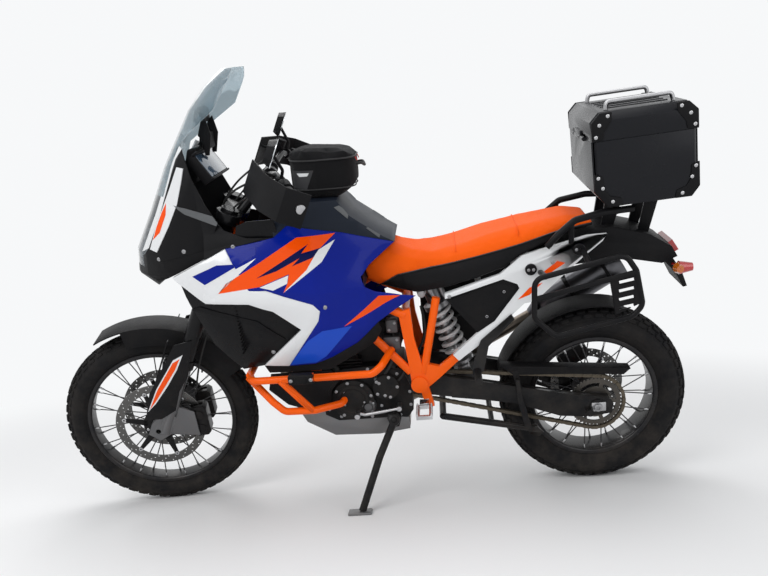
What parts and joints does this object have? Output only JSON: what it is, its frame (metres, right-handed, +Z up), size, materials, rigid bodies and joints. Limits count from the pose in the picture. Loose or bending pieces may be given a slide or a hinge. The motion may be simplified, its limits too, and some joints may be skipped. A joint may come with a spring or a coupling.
{
  "type": "adventure motorcycle",
  "caption": "Tall two-wheeled touring machine with wire wheels, high screen, hand guards, crash bars, luggage racks and a top case, leaning on its side stand.",
  "frame": {"origin": "on the ground, under the middle of the whole machine's box as it stands parked", "axes": "+X points to the machine's rear, so it faces -X; +Y to the rider's right; +Z up"},
  "size_m": [2.2561, 0.8462, 1.5276],
  "materials": {
    "tyre_rubber": "black rubber with blocks",
    "rim_black": "satin black",
    "hub_metal": "dark cast hub with steel spokes",
    "disc_steel": "ground steel",
    "sprocket_steel": "machined steel",
    "chain_steel": "oiled steel",
    "fork_silver": "cast and machined silver",
    "fork_black": "black anodised",
    "grip_rubber": "ribbed black rubber",
    "black_plastic": "fine grained black",
    "mirror_shell": "black shell with silvered glass",
    "caliper_black": "black anodised",
    "frame_orange": "gloss orange powder coat",
    "engine_black": "black cast covers",
    "skid_grey": "bare sheet",
    "panel_blue": "deep gloss blue",
    "panel_white": "gloss white",
    "cover_dark": "dark slate, satin",
    "radiator_black": "black fins",
    "screen_tint": "pale tinted screen",
    "lamp_glass": "clear lens",
    "seat_cover": "orange top with black sides",
    "subframe_white": "white powder coat",
    "lamp_red": "red and amber lenses",
    "rack_black": "black powder coat",
    "case_black": "black coated sheet with plastic corners",
    "bag_fabric": "black woven fabric",
    "arm_black": "satin black",
    "spring_white": "white spring",
    "exhaust_steel": "heat stained steel",
    "silencer_silver": "brushed sleeve with dark cap",
    "steel_plain": "plated steel"
  },
  "bodies": {
    "chassis": {"belly_panels": "black_plastic", "chain": "chain_steel", "chain_guard": "black_plastic", "cockpit_stay": "rack_black", "crash_bars": "frame_orange", "dash": "black_plastic", "engine": "engine_black", "exhaust_pipes": "exhaust_steel", "foot_controls": "steel_plain", "foot_rests": "steel_plain", "fuel_tank": "cover_dark", "headlight": "lamp_glass", "luggage_rack": "rack_black", "main_frame": "frame_orange", "nose_cowl": "black_plastic", "nose_panels": "panel_white", "pannier_racks": "rack_black", "radiator_shrouds": "black_plastic", "radiators": "radiator_black", "rear_caliper": "caliper_black", "rear_lamps": "lamp_red", "seat": "seat_cover", "shock": "spring_white", "shroud_bands": "panel_white", "side_covers": "black_plastic", "side_panels": "panel_blue", "silencer": "silencer_silver", "skid_plate": "skid_grey", "stand_mounts": "arm_black", "subframe": "subframe_white", "swing_arm": "arm_black", "tail_unit": "black_plastic", "tank_bag": "bag_fabric", "top_case": "case_black", "windscreen": "screen_tint"},
    "steering": {"fork_lowers": "fork_silver", "fork_uppers": "fork_black", "yokes": "fork_black", "handlebar": "fork_black", "grips": "grip_rubber", "bar_controls": "black_plastic", "hand_guards": "black_plastic", "mirrors": "mirror_shell", "fork_guards": "black_plastic", "front_calipers": "caliper_black", "front_fender": "black_plastic"},
    "front_wheel": {"front_tyre": "tyre_rubber", "front_rim": "rim_black", "front_hub": "hub_metal", "front_discs": "disc_steel"},
    "rear_wheel": {"rear_tyre": "tyre_rubber", "rear_rim": "rim_black", "rear_hub": "hub_metal", "rear_disc": "disc_steel", "rear_sprocket": "sprocket_steel"},
    "side_stand": {"side_stand": "arm_black"},
    "centre_stand": {"centre_stand": "arm_black"},
    "case_lid": {"case_lid": "case_black"}
  },
  "joints": [
    {"name": "steering_turn", "type": "hinge", "parent": "chassis", "child": "steering", "pos_m": [-0.44126, 0.02737, 0.94364], "axis": [0.4252, -0.188, 0.8854], "range_deg": [-42.7, 27.3]},
    {"name": "front_wheel_spin", "type": "hinge", "parent": "steering", "child": "front_wheel", "pos_m": [-0.78257, 0.14974, 0.33726], "axis": [-0.1218, 0.9574, 0.2617], "continuous": true},
    {"name": "rear_wheel_spin", "type": "hinge", "parent": "chassis", "child": "rear_wheel", "pos_m": [0.79508, 0.15868, 0.32887], "axis": [-0.0005, 0.9781, 0.2079], "continuous": true},
    {"name": "side_stand_fold", "type": "hinge", "parent": "chassis", "child": "side_stand", "pos_m": [0.08614, -0.00325, 0.30499], "axis": [-0.0007, -0.9627, 0.2706], "range_deg": [0, 112]},
    {"name": "centre_stand_fold", "type": "hinge", "parent": "chassis", "child": "centre_stand", "pos_m": [0.25609, 0.15889, 0.32658], "axis": [-0.0005, 0.9781, 0.2079], "range_deg": [0, 80], "stiffness_Nm_per_rad": 20, "springref_deg": -34.38},
    {"name": "case_lid_open", "type": "hinge", "parent": "chassis", "child": "case_lid", "pos_m": [0.75548, -0.03091, 1.22071], "axis": [0.0005, -0.9781, -0.2079], "range_deg": [0, 100]}
  ]
}
